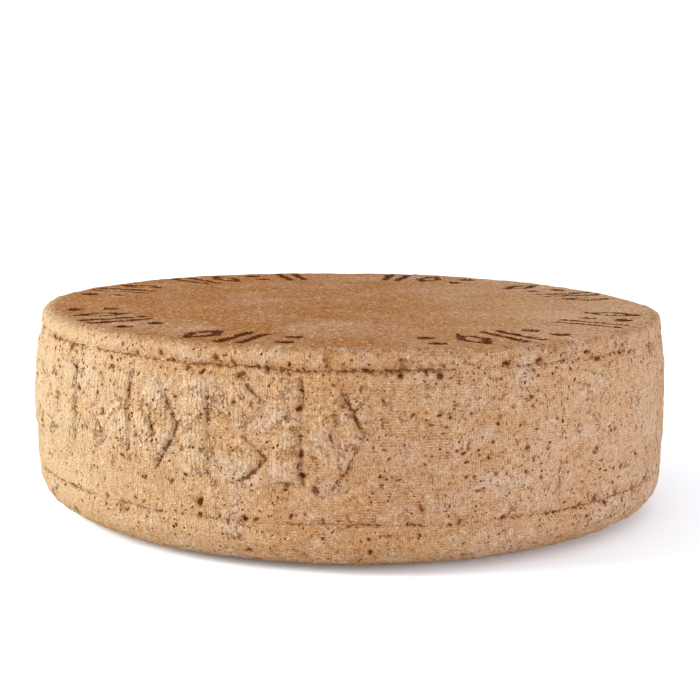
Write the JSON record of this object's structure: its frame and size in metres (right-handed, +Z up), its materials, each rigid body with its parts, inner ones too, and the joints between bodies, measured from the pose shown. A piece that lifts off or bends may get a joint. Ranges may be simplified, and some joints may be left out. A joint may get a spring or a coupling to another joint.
{
  "type": "cheese wheel",
  "caption": "Whole wheel of semi-hard cheese with a dry natural rind: a low round drum with a bellied side, a band of raised lozenges and bars, and flat faces to rest and stack on.",
  "frame": {"origin": "the middle of the flat base, on the surface that the wheel rests on", "axes": "+Z up along the wheel's axis; -Y is the front, and the press band's joint line is 54 degrees from +X towards -Y"},
  "size_m": [0.3016, 0.3026, 0.092],
  "materials": {
    "rind": "dry, matt and granular, like fine cork"
  },
  "bodies": {
    "root": {"cheese_wheel": "rind"}
  },
  "joints": []
}
